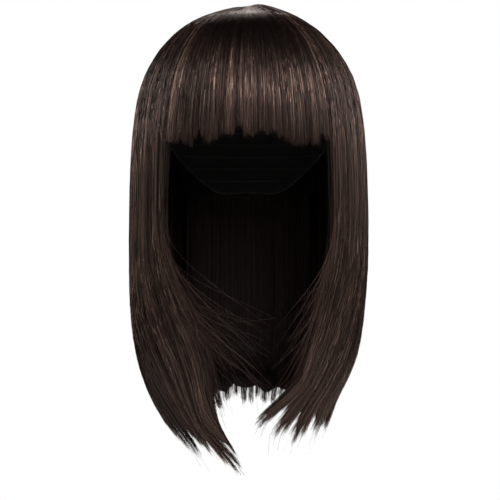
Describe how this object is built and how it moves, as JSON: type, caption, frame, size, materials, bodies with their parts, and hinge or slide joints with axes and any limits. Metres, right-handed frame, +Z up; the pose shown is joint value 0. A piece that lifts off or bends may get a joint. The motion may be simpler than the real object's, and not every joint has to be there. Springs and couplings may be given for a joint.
{
  "type": "bob wig",
  "caption": "Straight bob wig with a full blunt fringe and inward-swept cheek locks, hanging from a thin sewn cap that is open for the head, face and neck.",
  "frame": {"origin": "where the crown of the wearer's head meets the inside of the cap", "axes": "+Z up along the wearer's head, the face opening towards -Y, and +X towards the wearer's left, which is the right of a front view"},
  "size_m": [0.2061, 0.2214, 0.4017],
  "materials": {
    "hair": "glossy straight synthetic fibre, very dark brown with finer reddish and lighter strands",
    "cap_net": "matt black stretch net with sewn wefts"
  },
  "bodies": {
    "root": {"cap": "cap_net", "fringe": "hair", "side_hair_right": "hair", "side_hair_left": "hair", "back_hair": "hair", "nape_hair": "hair"}
  },
  "joints": []
}
